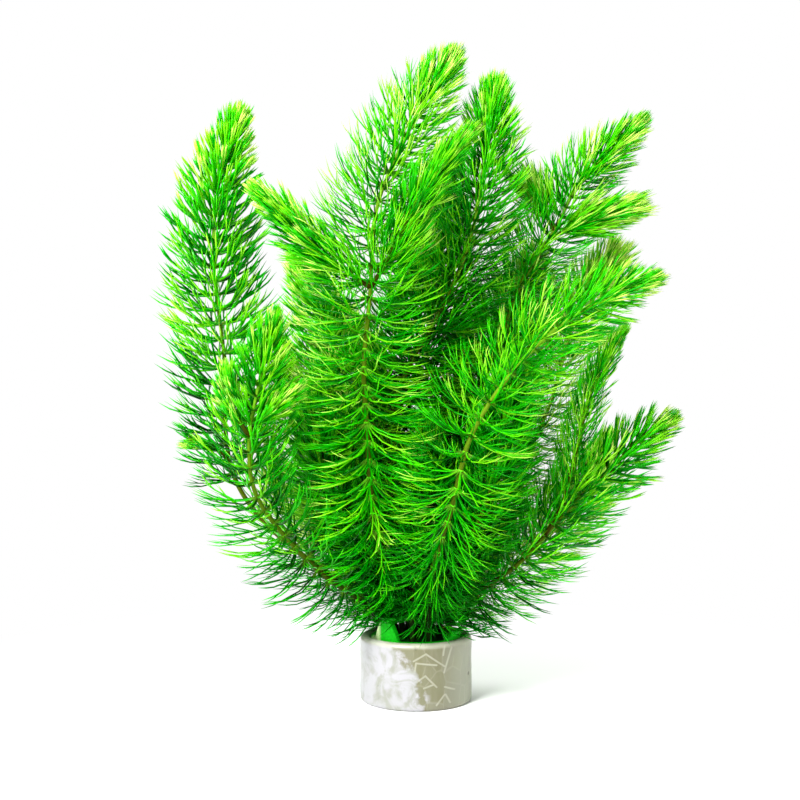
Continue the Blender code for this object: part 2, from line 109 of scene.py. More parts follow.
# Main stems: circle and angle of the foot, reach of the leaves, and the points that the stem passes above
# the foam, in millimetres. The last point is the tip.
STEMS = {
    "stem_left_tall": (OUTER_FEET, 176, 1.08, [
        (-17, 5, 30), (-35, 8, 44), (-53, 10, 59), (-63, 10, 74), (-66, 8, 92), (-66, 8, 112), (-68, 8, 130),
        (-70, 8, 148), (-69, 8, 171), (-65, 8, 188), (-59, 6, 204)]),
    "stem_left_low": (OUTER_FEET, 198, 0.95, [
        (-16, -7, 32), (-30, -12, 43), (-45, -20, 60), (-52, -25, 73), (-53, -28, 89), (-50, -30, 105),
        (-47, -32, 118), (-43, -34, 131)]),
    "stem_centre_tall": (INNER_FEET, 262, 1.0, [
        (-6, -8, 38), (-12, -14, 55), (-15, -19, 74), (-16, -22, 92), (-17, -22, 111), (-15, -18, 137),
        (-13, -14, 164), (-4, -8, 188), (5, -4, 205), (15, 0, 222)]),
    "stem_centre_mid": (INNER_FEET, 200, 0.95, [
        (-5, 0, 36), (-7, 3, 60), (-9, 4, 81), (-7, 4, 101), (0, 4, 117), (10, 4, 135), (17, 4, 151),
        (21, 4, 166), (24, 4, 187), (28, 2, 213)]),
    "stem_right_reach": (OUTER_FEET, 292, 0.85, [
        (4, -15, 38), (7, -24, 54), (11, -32, 68), (13, -36, 78), (16, -38, 89), (22, -38, 100),
        (32, -36, 113), (44, -34, 124), (60, -32, 134), (79, -28, 141)]),
    "stem_right_upper": (INNER_FEET, 10, 0.8, [
        (8, 4, 38), (16, 9, 63), (25, 12, 94), (30, 12, 122), (36, 12, 140), (43, 12, 152), (50, 12, 163),
        (57, 10, 177), (69, 8, 189), (81, 5, 200)]),
    "stem_right_low": (OUTER_FEET, 345, 0.9, [
        (12, -3, 29), (18, -4, 35), (26, -5, 40), (36, -6, 48), (46, -6, 59), (57, -6, 71), (66, -5, 79),
        (77, -3, 89), (90, 0, 97)]),
    "stem_left_mid": (INNER_FEET, 140, 0.9, [
        (-10, 9, 36), (-20, 16, 59), (-28, 19, 87), (-30, 18, 110), (-31, 15, 124), (-35, 12, 138),
        (-42, 10, 151)]),
    "stem_right_mid": (OUTER_FEET, 43, 0.9, [
        (12, 12, 34), (25, 22, 54), (39, 29, 77), (50, 31, 101), (57, 28, 127), (63, 23, 141),
        (73, 17, 155)]),
    "stem_inner_left": (0.0, 0, 0.9, [
        (-3, -3, 34), (-10, -5, 46), (-20, -6, 58), (-29, -6, 72), (-33, -6, 90), (-35, -7, 108)]),
    "stem_inner_middle": (OUTER_FEET, 262, 0.85, [
        (-1, -12, 36), (1, -14, 52), (3, -15, 70), (4, -15, 84), (5, -15, 98)]),
    "stem_inner_right": (INNER_FEET, 316, 0.9, [
        (7, -5, 36), (15, -9, 50), (22, -12, 66), (27, -13, 84), (30, -14, 102), (34, -14, 120)]),
    "stem_left_back": (OUTER_FEET, 128, 0.85, [
        (-11, 13, 34), (-26, 24, 50), (-37, 30, 68), (-43, 32, 86), (-46, 31, 103), (-50, 28, 128)]),
    "stem_back_tall": (INNER_FEET, 80, 0.9, [
        (1, 12, 38), (2, 24, 64), (4, 31, 101), (6, 34, 139), (9, 33, 168), (14, 29, 188)]),
    "stem_back_left": (OUTER_FEET, 102, 0.85, [
        (-5, 17, 35), (-13, 30, 56), (-20, 38, 86), (-24, 40, 109), (-28, 39, 131)]),
    "stem_back_right": (OUTER_FEET, 70, 0.85, [
        (7, 18, 35), (16, 30, 56), (25, 37, 86), (32, 39, 113), (39, 38, 138), (45, 36, 156)]),
    "stem_back_low_right": (OUTER_FEET, 15, 0.85, [
        (17, 9, 31), (33, 19, 40), (50, 28, 53), (64, 33, 70), (71, 33, 87)]),
    "stem_back_low_left": (OUTER_FEET, 152, 0.85, [
        (-17, 12, 31), (-31, 23, 39), (-44, 31, 52), (-51, 34, 69), (-54, 33, 88)]),
}

# Side shoots: the stem that carries it, reach of the leaves, and the points that it passes, in millimetres.
BRANCHES = {
    "branch_centre_left": ("stem_centre_tall", 0.85, [
        (-15, -18, 137), (-23, -20, 143), (-31, -22, 149), (-42, -24, 160), (-54, -26, 171)]),
    "branch_centre_right": ("stem_centre_tall", 0.85, [
        (-15, -18, 137), (-9, -23, 147), (0, -27, 164), (9, -29, 177), (20, -30, 189)]),
    "branch_right_upper_left": ("stem_right_upper", 0.75, [
        (49, 12, 161), (44, 14, 170), (37, 16, 181)]),
    "branch_right_upper_side": ("stem_right_upper", 0.75, [
        (47, 12, 158), (57, 8, 162), (66, 6, 165), (76, 4, 167)]),
    "branch_right_low": ("stem_right_low", 0.85, [
        (43, -6, 55), (49, -10, 68), (53, -12, 86), (57, -12, 102), (63, -12, 116), (70, -12, 127)]),
    "branch_left_side": ("stem_left_tall", 0.7, [
        (-65, 9, 82), (-71, 4, 85), (-81, 0, 85)]),
    "branch_left_inner": ("stem_left_low", 0.75, [
        (-53, -28, 90), (-58, -32, 100), (-59, -35, 114)]),
    "branch_left_outer": ("stem_left_low", 0.75, [
        (-53, -28, 91), (-45, -33, 98), (-34, -36, 107)]),
}

# The whorls of a main stem, in the units that UNITS gives
WHORLS = {
    "Leaves": 19, "Bare": 20, "Tip gap": 0.9, "Whorl gap": 4.7, "Gap growth": 9.0, "Tip length": 10,
    "Leaf length": 26, "Tip lean": 13, "Old lean": 84, "Droop": 22, "Tone": 0.40, "Low share": 0.7,
}
UNITS = {
    "Bare": MM, "Tip gap": MM, "Whorl gap": MM, "Tip length": MM, "Leaf length": MM,
    "Tip lean": DEGREE, "Old lean": DEGREE, "Droop": DEGREE,
}
# What sets side shoots apart from main stems, and each shoot from the others
SIDE_SHOOT = {"Bare": 3, "Leaves": 17, "Whorl gap": 3.8, "Old lean": 58, "Droop": 0, "Tone": 0.41,
              "Low share": 1.0}
LOOKS = {
    "stem_left_tall": {"Bare": 90, "Leaves": 18, "Whorl gap": 5.6, "Old lean": 80, "Droop": 10,
                       "Tip lean": 20, "Tone": 0.38, "Forms": "broad"},
    "stem_left_low": {"Bare": 24, "Leaves": 15, "Whorl gap": 6.2, "Leaf length": 28, "Droop": 25,
                      "Tone": 0.37, "Forms": "coarse"},
    "stem_centre_tall": {"Bare": 27, "Whorl gap": 6.2, "Leaves": 24, "Leaf length": 29, "Droop": 35,
                         "Tip lean": 18, "Tone": 0.43},
    "stem_centre_mid": {"Whorl gap": 4.6, "Leaves": 26, "Leaf length": 29.5, "Tip lean": 22,
                        "Tip length": 11, "Tone": 0.34},
    "stem_right_reach": {"Bare": 28, "Whorl gap": 6.6, "Leaves": 19, "Leaf length": 30, "Droop": 55,
                         "Tip lean": 16, "Tone": 0.41},
    "stem_right_low": {"Bare": 17, "Leaves": 15, "Whorl gap": 5.6, "Leaf length": 30, "Old lean": 80,
                       "Droop": 25, "Tone": 0.30, "Forms": "coarse"},
    "stem_right_mid": {"Leaves": 23, "Whorl gap": 4.2, "Tip length": 15, "Tip lean": 24, "Tone": 0.66},
    "stem_right_upper": {"Leaves": 23, "Whorl gap": 4.6, "Leaf length": 31, "Tone": 0.36},
    "stem_left_mid": {"Leaves": 23, "Whorl gap": 4.4, "Tip length": 14, "Leaf length": 33, "Tone": 0.52},
    # The inner stems have dark tones: painted shade for the inside of the bunch
    "stem_inner_left": {"Bare": 22, "Leaves": 26, "Whorl gap": 4, "Tone": 0.20, "Forms": "coarse"},
    "stem_inner_middle": {"Bare": 24, "Leaves": 28, "Whorl gap": 3.8, "Tone": 0.06, "Forms": "coarse"},
    "stem_inner_right": {"Bare": 22, "Leaves": 28, "Whorl gap": 3.8, "Tone": 0.12, "Forms": "coarse"},
    "stem_left_back": {"Bare": 22, "Droop": 10, "Tone": 0.56},
    "stem_back_tall": {"Leaves": 30, "Whorl gap": 3.9, "Tip length": 14, "Leaf length": 33, "Tone": 0.25,
                       "Forms": "coarse"},
    "stem_back_left": {"Leaves": 27, "Whorl gap": 4.2, "Tip length": 18, "Leaf length": 34, "Tone": 0.34,
                       "Forms": "coarse"},
    "stem_back_right": {"Leaves": 27, "Whorl gap": 4.1, "Tip length": 15, "Leaf length": 34, "Tone": 0.50,
                        "Forms": "coarse"},
    "stem_back_low_left": {"Bare": 26, "Droop": 5, "Tone": 0.40},
    "stem_back_low_right": {"Leaves": 22, "Tip length": 15, "Tone": 0.62},
    "branch_centre_left": {"Leaf length": 30, "Old lean": 56, "Leaves": 17, "Tone": 0.44},
    "branch_right_low": {"Leaf length": 20, "Leaves": 15, "Tone": 0.34},
    "branch_left_inner": {"Tone": 0.40},
    "branch_right_upper_side": {"Leaf length": 30, "Tip length": 17, "Tip lean": 15, "Tone": 0.50},
    "branch_right_upper_left": {"Leaf length": 30, "Tip length": 15, "Tip lean": 24, "Tone": 0.54},
}


# Routes

def smooth_route(points):
    """A smooth curve through the points, as samples that lie ROUTE_STEP apart."""
    last = len(points) - 1
    gaps = [(b - a).length for a, b in zip(points, points[1:])]
    slopes = [(points[1] - points[0]) / gaps[0]]
    for i in range(1, last):
        slopes.append((points[i + 1] - points[i - 1]) / (gaps[i - 1] + gaps[i]))
    slopes.append((points[last] - points[last - 1]) / gaps[last - 1])
    dense = []
    for i in range(last):
        reach = gaps[i] / 3
        dense += interpolate_bezier(points[i], points[i] + slopes[i] * reach,
                                    points[i + 1] - slopes[i + 1] * reach, points[i + 1], CURVE_SAMPLES)[:-1]
    dense.append(points[last])
    return even_steps(dense)


def even_steps(dense):
    """Sample a polyline every ROUTE_STEP, both ends included."""
    along = [0.0]
    for a, b in zip(dense, dense[1:]):
        along.append(along[-1] + (b - a).length)
    count = max(2, round(along[-1] / ROUTE_STEP))
    samples = []
    place = 0
    for i in range(count + 1):
        target = along[-1] * i / count
        while place < len(along) - 2 and along[place + 1] < target:
            place += 1
        part = (target - along[place]) / (along[place + 1] - along[place])
        samples.append(dense[place].lerp(dense[place + 1], part))
    return samples


def stem_route(circle, angle, way):
    """A main stem's route from its foot in the foam."""
    turn = math.radians(angle)
    x, y = circle * math.cos(turn), circle * math.sin(turn)
    heights = (STEM_FOOT, (STEM_FOOT + FREE_HEIGHT) / 2, FREE_HEIGHT)
    points = [Vector((x, y, height)) for height in heights]
    return smooth_route(points + [Vector(point) * MM for point in way])


def branch_route(parent, way):
    """A side shoot's route from the middle of the stem that carries it."""
    points = [Vector(point) * MM for point in way]
    points[0] = min(parent, key=lambda sample: (sample - points[0]).length)
    return smooth_route(points)


# Objects and meshes

def new_object(name, data):
    """An object in the scene."""
    made = bpy.data.objects.new(name, data)
    bpy.context.scene.collection.objects.link(made)
    return made


def finish_mesh(shape, name, material):
    """Turn a bmesh into a smooth mesh."""
    mesh = bpy.data.meshes.new(name)
    shape.to_mesh(mesh)
    shape.free()
    mesh.shade_smooth()
    mesh.materials.append(material)
    return mesh


# Nodes

class Output:
    """A node's output. Arithmetic and the other methods add nodes to its tree."""

    def __init__(self, socket):
        self.socket = socket
        self.tree = socket.id_data

    def calc(self, operation, *others):
        """A Math node's output, with this one as its first input."""
        return node(self.tree, "ShaderNodeMath", dict(enumerate((self, *others))), operation=operation)

    def __add__(self, other):
        return self.calc("ADD", other)

    def __sub__(self, other):
        return self.calc("SUBTRACT", other)

    def __rsub__(self, other):
        return node(self.tree, "ShaderNodeMath", {0: other, 1: self}, operation="SUBTRACT")

    def __mul__(self, other):
        return self.calc("MULTIPLY", other)

    def __truediv__(self, other):
        return self.calc("DIVIDE", other)

    def __rtruediv__(self, other):
        return node(self.tree, "ShaderNodeMath", {0: other, 1: self}, operation="DIVIDE")

    def __neg__(self):
        return self * -1.0

    __radd__ = __add__
    __rmul__ = __mul__

    def clamp(self, high=1.0):
        """This number kept between 0 and high."""
        return node(self.tree, "ShaderNodeClamp", {0: self, 1: 0.0, 2: high})

    def step(self, low, high, to_low=0.0, to_high=1.0, kind="SMOOTHSTEP"):
        """A step from to_low below low to to_high above high, soft where the kind isn't LINEAR."""
        return node(self.tree, "ShaderNodeMapRange", {
            "Value": self, "From Min": low, "From Max": high, "To Min": to_low, "To Max": to_high},
            interpolation_type=kind)

    def random(self, low, high, seed):
        """A random number for each value of this one."""
        return node(self.tree, "FunctionNodeRandomValue", {2: low, 3: high, "ID": self, "Seed": seed}, 1,
                    data_type="FLOAT")

    def parts(self):
        """The x, y and z of this vector."""
        return [Output(part) for part in add_node(self.tree, "ShaderNodeSeparateXYZ", {0: self}).outputs]

    def vector_calc(self, operation, *others):
        """A Vector Math node's output, with this one as its first input."""
        key = "Value" if operation in ("LENGTH", "DISTANCE", "DOT_PRODUCT") else "Vector"
        inputs = dict(enumerate((self, *others)))
        return node(self.tree, "ShaderNodeVectorMath", inputs, key, operation=operation)

    def scaled(self, scale):
        """This vector times a number."""
        return node(self.tree, "ShaderNodeVectorMath", {0: self, "Scale": scale}, operation="SCALE")


def connect(value, target):
    """Link an output to an input, or set the input to a plain value."""
    if isinstance(value, Output):
        target.id_data.links.new(value.socket, target)
    else:
        target.default_value = value


def add_node(tree, kind, inputs=None, **settings):
    """Add a node; inputs maps an input's name or number to its value."""
    made = tree.nodes.new(kind)
    for name, value in settings.items():
        setattr(made, name, value)
    for key, value in (inputs or {}).items():
        connect(value, made.inputs[key])
    return made


def node(tree, kind, inputs=None, key=0, **settings):
    """Add a node and return one of its outputs, the first one where no key is given."""
    return Output(add_node(tree, kind, inputs, **settings).outputs[key])


def new_group(name, kind, inputs, output):
    """A node group and its inputs by name; inputs maps each name to its kind of socket."""
    group = bpy.data.node_groups.new(name, kind)
    for label, socket in inputs.items():
        group.interface.new_socket(label, in_out="INPUT", socket_type="NodeSocket" + socket)
    label, socket = output
    group.interface.new_socket(label, in_out="OUTPUT", socket_type="NodeSocket" + socket)
    start = add_node(group, "NodeGroupInput").outputs
    return group, {label: Output(start[label]) for label in inputs}


def route_tree(name, inputs):
    """A geometry tree that gets a route, with the route as a curve and its length."""
    tree, start = new_group(name, "GeometryNodeTree", {
        "Geometry": "Geometry", **inputs, "Material": "Material"}, ("Geometry", "Geometry"))
    curve = node(tree, "GeometryNodeMeshToCurve", {"Mesh": start["Geometry"]})
    return tree, start, curve, node(tree, "GeometryNodeCurveLength", {"Curve": curve})


def end_tree(tree, geometry, material):
    """Give what a geometry tree made its material and put it out."""
    dressed = node(tree, "GeometryNodeSetMaterial", {"Geometry": geometry, "Material": material})
    add_node(tree, "NodeGroupOutput", {"Geometry": dressed})


def store(tree, geometry, name, value, domain):
    """Store a number as a named attribute."""
    return node(tree, "GeometryNodeStoreNamedAttribute", {
        "Geometry": geometry, "Name": name, "Value": value}, data_type="FLOAT", domain=domain)


def read(tree, name):
    """Read a number from a named attribute."""
    return node(tree, "GeometryNodeInputNamedAttribute", {"Name": name}, data_type="FLOAT")


def aim(tree, main, side, main_axis, side_axis):
    """The turn that brings one axis onto the main direction and another towards the side one."""
    return node(tree, "FunctionNodeAxesToRotation", {0: main, 1: side}, primary_axis=main_axis,
                secondary_axis=side_axis)


def run_tree(name, points, tree, values, material):
    """Run a tree on a route and return the result as a plain mesh object."""
    mesh = bpy.data.meshes.new(name + "_route")
    mesh.from_pydata([tuple(p) for p in points], [(i, i + 1) for i in range(len(points) - 1)], [])
    carrier = new_object(name + "_route", mesh)
    grow = carrier.modifiers.new("grow", "NODES")
    grow.node_group = tree
    identifiers = {item.name: item.identifier for item in tree.interface.items_tree
                   if item.item_type == "SOCKET" and item.in_out == "INPUT"}
    for label, value in {**values, "Material": material}.items():
        grow[identifiers[label]] = value
    bpy.context.view_layer.update()
    evaluated = carrier.evaluated_get(bpy.context.evaluated_depsgraph_get())
    result = bpy.data.meshes.new_from_object(evaluated)
    result.name = name
    piece = new_object(name, result)
    bpy.data.objects.remove(carrier)
    return piece


# Leaf forms

LIMB_SIDES = 3
LIMB_TAPER = 0.5              # share of its radius that a leaf loses from its foot to its tips
LIMB_LEVELS = (1.0, 0.88, 0.76)   # radius before the first fork, between the forks and after them
LIMB_STEPS = (2, 1, 2)
LEAF_DIP = 0.3                # a leaf starts off downwards by this share of its bend
TIP_FROM = 0.9                # the shortest tips end here along the leaf, the longest at 1
FORK_STRAY = 0.05             # a fork lies this far from its place at most
BEND_RANGE = (0.75, 1.25)
SPREAD_RANGE = (0.7, 1.3)
TILT_RANGE = (-0.6, 0.6)      # tilt of a fork, for a spread of 1
SPARE_FORK = 0.2              # chance that a limb doesn't fork again
# For each age group: bend towards the shoot's tip along the leaf in radians, half angle between the limbs
# of a fork in degrees, where along the leaf it forks, and the radius of its foot, for a leaf of length 1
LEAF_AGES = (
    {"bend": 0.45, "fork": 4.0, "forks": (0.36, 0.62), "radius": 0.023},
    {"bend": 1.00, "fork": 7.5, "forks": (0.40, 0.68), "radius": 0.016},
    {"bend": 1.15, "fork": 11.0, "forks": (0.34, 0.64), "radius": 0.0128},
)


def grow_limb(limbs, path, yaw, pitch, level, form, rng):
    """Carry a limb on from the end of its path to its tip. At a fork a new limb starts beside it."""
    place, along = path[-1]
    forks = level < len(form["forks"])
    if forks:
        goal = form["forks"][level] + rng.uniform(-FORK_STRAY, FORK_STRAY)
    else:
        goal = rng.uniform(TIP_FROM, 1.0)
    steps = LIMB_STEPS[level] if forks or len(path) > 1 else 1
    length = (goal - along) / steps
    bend = form["bend"] * rng.uniform(*BEND_RANGE)
    for _ in range(steps):
        pitch += bend * length
        flat = math.cos(pitch)
        heading = Vector((flat * math.cos(yaw), flat * math.sin(yaw), math.sin(pitch)))
        place = place + heading * length
        along += length
        path.append((place, along))
    if not forks:
        limbs.append(path)
        return
    spread = math.radians(form["fork"]) * rng.uniform(*SPREAD_RANGE)
    tilt = rng.uniform(*TILT_RANGE) * spread
    if level == 0 or rng.random() > SPARE_FORK:
        grow_limb(limbs, [path[-1]], yaw + spread, pitch + tilt, level + 1, form, rng)
    grow_limb(limbs, path, yaw - spread, pitch - tilt, level + 1, form, rng)


def leaf_mesh(name, form, width, finish, rng):
    """A forked needle leaf of length 1 that grows along X and bends towards Z."""
    limbs = []
    grow_limb(limbs, [(Vector((0.0, 0.0, 0.0)), 0.0)], 0.0, form["bend"] * -LEAF_DIP, 0, form, rng)
    shape = bmesh.new()
    cross = shape.verts.layers.float.new("cross")
    along_layer = shape.verts.layers.float.new("along")
    for path in limbs:
        start = path[0][1]
        level = sum(start > fork - 2 * FORK_STRAY for fork in form["forks"])
        add_limb(shape, path, form["radius"] * width * LIMB_LEVELS[level], cross, along_layer)
    return finish_mesh(shape, name, finish)


def add_limb(shape, path, radius, cross, along_layer):
    """One closed limb with three sides and a sharp tip."""
    rings = []
    places = [place for place, _ in path]
    side = (places[-1] - places[0]).cross(Vector((0.0, 0.0, 1.0))).normalized()
    for number, (place, along) in enumerate(path[:-1]):
        tangent = (places[number + 1] - places[max(number - 1, 0)]).normalized()
        up = side.cross(tangent)
        here = radius * (1.0 - LIMB_TAPER * along)
        ring = []
        for i in range(LIMB_SIDES):
            turn = math.tau * i / LIMB_SIDES + math.pi / 2
            vert = shape.verts.new(place + (side * math.cos(turn) + up * math.sin(turn)) * here)
            vert[cross] = i / (LIMB_SIDES - 1)
            vert[along_layer] = along
            ring.append(vert)
        rings.append(ring)
    tip = shape.verts.new(places[-1])
    tip[cross] = 0.5
    tip[along_layer] = path[-1][1]
    for low, high in zip(rings, rings[1:]):
        for i in range(LIMB_SIDES):
            j = (i + 1) % LIMB_SIDES
            shape.faces.new((low[j], low[i], high[i], high[j]))
    for i in range(LIMB_SIDES):
        shape.faces.new((rings[-1][(i + 1) % LIMB_SIDES], rings[-1][i], tip))
    shape.faces.new(rings[0])


def make_leaf_forms(label, width, finish, rng):
    """A collection of leaves for the whorls to pick from, young ones first."""
    group = bpy.data.collections.new(label)
    bpy.context.scene.collection.children.link(group)
    for age, form in enumerate(LEAF_AGES):
        for number in range(LEAF_FORMS):
            name = f"{label}_{age}_{number}"
            group.objects.link(bpy.data.objects.new(name, leaf_mesh(name, form, width, finish, rng)))
    return group


# Whorls

LENGTH_GROWTH = 30.0 * MM
LEAN_GROWTH = 24.0 * MM
DROOP_START = 45.0 * MM       # old leaves droop from this far below the tip
DROOP_SPAN = 80.0 * MM
LOW_SPAN = 40.0 * MM          # leaves are shorter over this stretch above the bare foot, and darker there with painted shade low in the bunch
LOW_PAINTED_SHADE = 1.3                # how much painted shade darkens them there, for a leaf of no length
TIP_TONE = 0.22               # leaves at the tip are lighter by this
AGE_SPAN = 75.0 * MM          # distance below the tip over which leaves pass through the age groups
# How far single leaves stray from the place, directions, size, age and tone of their whorl
PLACE_STRAY = 0.3 * MM
AROUND_STRAY = 0.2
LEAN_STRAY = 0.13
ROLL_STRAY = 0.5
SIZE_RANGE = (0.8, 1.08)
AGE_STRAY = 0.15
LEAF_TONE_STRAY = 0.39
# Random numbers of two shoots start this far apart, for their leaves and for their whorls
LEAF_STRIDE = 7919.0
WHORL_STRIDE = 131.0
LAST_SHARE = 0.999            # keeps the oldest leaves in the last age group
PICK_MARGIN = 0.01            # keeps a random pick below the number of leaf forms
NODE_WIDTH = 1.35             # radius of the thickened nodes, for a stalk of radius 1
NODE_FLATNESS = 0.5
NODE_SEGMENTS = 8
NODE_RINGS = 4
NODE_ALONG = 0.3              # place of the nodes' middle along the bake plan, as on a leaf
NODE_SPREAD = 0.2
NODE_TONE = 0.62
NODE_TIP_TONE = 0.25          # nodes at the tip are lighter by this
REST_HEIGHT = 22.5 * MM       # leaves that hang over the ring rest on it from this height
REST_RADIUS = 19.4 * MM
REST_SLOPE = 1.4
TONE_SPAN = 0.94              # part of the bake plan's width for the tone, the rest is for the way across


def whorl_age(start, whorl):
    """Distance of a whorl below the topmost one. The gaps grow from the tip gap to the whorl gap."""
    growth = start["Gap growth"]
    ease = 1.0 - (-(whorl / growth)).calc("EXPONENT")
    return start["Whorl gap"] * (whorl - growth * ease) + start["Tip gap"] * growth * ease


def eased(start, end, age, growth):
    """A value that goes from start to end as age grows."""
    return (start - end) * (-age / growth).calc("EXPONENT") + end


def sample_route(tree, curve, distance):
    """Position, tangent and normal of a route at a distance along it."""
    sample = add_node(tree, "GeometryNodeSampleCurve", {"Curves": curve, "Length": distance}, mode="LENGTH")
    return [Output(sample.outputs[name]) for name in ("Position", "Tangent", "Normal")]


def move_to(tree, geometry, place):
    """Points moved to their places."""
    return node(tree, "GeometryNodeSetPosition", {"Geometry": geometry, "Position": place})


def node_beads(tree, start, curve, stalk_length, count, leafy):
    """The thickened nodes of the stalk, one at each whorl."""
    points = node(tree, "GeometryNodePoints", {"Count": count})
    age = whorl_age(start, node(tree, "GeometryNodeInputIndex"))
    distance = stalk_length - age
    place, tangent, normal = sample_route(tree, curve, distance)
    upwards = distance / stalk_length
    size = (start["Radius"] + upwards * (start["Tip radius"] - start["Radius"])) * NODE_WIDTH
    bead = node(tree, "GeometryNodeMeshUVSphere", {
        "Segments": NODE_SEGMENTS, "Rings": NODE_RINGS, "Radius": 1.0})
    x, _, z = node(tree, "GeometryNodeInputPosition").parts()
    bead = store(tree, bead, "cross", x * 0.5 + 0.5, "POINT")
    bead = store(tree, bead, "along", z * NODE_SPREAD + NODE_ALONG, "POINT")
    bead = node(tree, "GeometryNodeSetShadeSmooth", {"Geometry": bead})
    bead = node(tree, "GeometryNodeTransform", {"Geometry": bead, "Scale": (1.0, 1.0, NODE_FLATNESS)})
    beads = node(tree, "GeometryNodeInstanceOnPoints", {
        "Points": move_to(tree, points, place), "Selection": age.calc("LESS_THAN", leafy), "Instance": bead,
        "Rotation": aim(tree, tangent, normal, "Z", "X"), "Scale": size})
    return store(tree, beads, "tone", upwards * NODE_TIP_TONE + NODE_TONE, "INSTANCE")


def rest_on_ring(tree, geometry):
    """Lift whatever hangs into the ring onto it."""
    x, y, z = node(tree, "GeometryNodeInputPosition").parts()
    away = node(tree, "ShaderNodeCombineXYZ", {"X": x, "Y": y}).vector_calc("LENGTH")
    beyond = (away - REST_RADIUS).calc("MAXIMUM", 0.0)
    height = z.calc("MAXIMUM", REST_HEIGHT - beyond * REST_SLOPE)
    return move_to(tree, geometry, node(tree, "ShaderNodeCombineXYZ", {"X": x, "Y": y, "Z": height}))


def whorl_tree():
    """Whorls of forked leaves along a route, close together and pressed forwards at its tip."""
    tree, start, curve, length = route_tree("whorls", {
        **dict.fromkeys((*WHORLS, "Radius", "Tip radius"), "Float"),
        "Leaves": "Int", "Leaf forms": "Collection", "Seed": "Int"})
    stalk_length = length - STALK_END
    leafy = stalk_length - start["Bare"]

    # Enough whorls for the leafy stretch
    spare = (start["Whorl gap"] - start["Tip gap"]) * start["Gap growth"]
    whorls = ((leafy + spare) / start["Whorl gap"]).calc("CEIL") + 1.0
    points = node(tree, "GeometryNodePoints", {"Count": whorls * start["Leaves"]})

    # Which whorl each point is in, and its place in the whorl
    index = node(tree, "GeometryNodeInputIndex")
    whorl = (index / start["Leaves"]).calc("FLOOR")
    leaf = index.calc("MODULO", start["Leaves"])
    age = whorl_age(start, whorl)
    leaf_id = index + start["Seed"] * LEAF_STRIDE
    whorl_id = whorl + start["Seed"] * WHORL_STRIDE

    # Place and directions on the route
    slip = leaf_id.random(-PLACE_STRAY, PLACE_STRAY, 1)
    place, tangent, normal = sample_route(tree, curve, stalk_length - (age + slip))
    around = leaf * (math.tau / start["Leaves"]) + (
        whorl_id.random(0.0, math.tau, 2) + leaf_id.random(-AROUND_STRAY, AROUND_STRAY, 3))
    radial = node(tree, "ShaderNodeVectorRotate", {"Vector": normal, "Axis": tangent, "Angle": around},
                  rotation_type="AXIS_ANGLE")
    drooped = age.step(DROOP_START, DROOP_START + DROOP_SPAN, 0.0, start["Droop"])
    lean = eased(start["Tip lean"], start["Old lean"], age, LEAN_GROWTH) + (
        drooped + leaf_id.random(-LEAN_STRAY, LEAN_STRAY, 4))
    direction = radial.scaled(lean.calc("SINE")).vector_calc("ADD", tangent.scaled(lean.calc("COSINE")))
    roll = node(tree, "FunctionNodeAxisAngleToRotation", {
        "Axis": (1.0, 0.0, 0.0), "Angle": leaf_id.random(-ROLL_STRAY, ROLL_STRAY, 5)})
    turn = node(tree, "FunctionNodeRotateRotation", {
        "Rotation": aim(tree, direction, tangent, "X", "Z"), "Rotate By": roll}, rotation_space="LOCAL")
    low = (leafy - age).step(0.0, LOW_SPAN, start["Low share"], 1.0, "LINEAR")
    grown = eased(start["Tip length"], start["Leaf length"], age, LENGTH_GROWTH)
    size = grown * leaf_id.random(*SIZE_RANGE, 6) * low

    # A leaf of the right age for each point
    share = (age / AGE_SPAN + leaf_id.random(-AGE_STRAY, AGE_STRAY, 7)).clamp(LAST_SHARE)
    group_start = (share * len(LEAF_AGES)).calc("FLOOR") * LEAF_FORMS
    pick = (group_start + leaf_id.random(0.0, LEAF_FORMS - PICK_MARGIN, 8)).calc("FLOOR")
    forms = node(tree, "GeometryNodeCollectionInfo", {
        "Collection": start["Leaf forms"], "Separate Children": True, "Reset Children": True})
    leaves = node(tree, "GeometryNodeInstanceOnPoints", {
        "Points": move_to(tree, points, place), "Selection": age.calc("LESS_THAN", leafy),
        "Instance": forms, "Pick Instance": True, "Instance Index": pick, "Rotation": turn, "Scale": size})

    # Tone of each leaf: light at the tip, darker with painted shade low in the bunch, with a spread from
    # leaf to leaf
    tone = (start["Tone"] + eased(TIP_TONE, 0.0, age, LENGTH_GROWTH)) + (
        (low - 1.0) * LOW_PAINTED_SHADE + leaf_id.random(-LEAF_TONE_STRAY, LEAF_TONE_STRAY, 9))
    leaves = store(tree, leaves, "tone", tone.clamp(), "INSTANCE")
    real = node(tree, "GeometryNodeRealizeInstances", {"Geometry": leaves})
    beads = node(tree, "GeometryNodeRealizeInstances", {
        "Geometry": node_beads(tree, start, curve, stalk_length, whorls, leafy)})
    joined = add_node(tree, "GeometryNodeJoinGeometry")
    connect(beads, joined.inputs[0])
    connect(rest_on_ring(tree, real), joined.inputs[0])

    # Bake plan: tone across, place along the leaf upwards
    across = read(tree, "tone") * TONE_SPAN + read(tree, "cross") * (1.0 - TONE_SPAN)
    plan = node(tree, "ShaderNodeCombineXYZ", {"X": across, "Y": read(tree, "along")})
    mapped = node(tree, "GeometryNodeStoreNamedAttribute", {
        "Geometry": Output(joined.outputs[0]), "Name": "OFBake", "Value": plan}, data_type="FLOAT2",
        domain="CORNER")
    for spent in ("tone", "cross", "along", "UVMap"):
        mapped = node(tree, "GeometryNodeRemoveAttribute", {"Geometry": mapped, "Name": spent})
    end_tree(tree, mapped, start["Material"])
    return tree


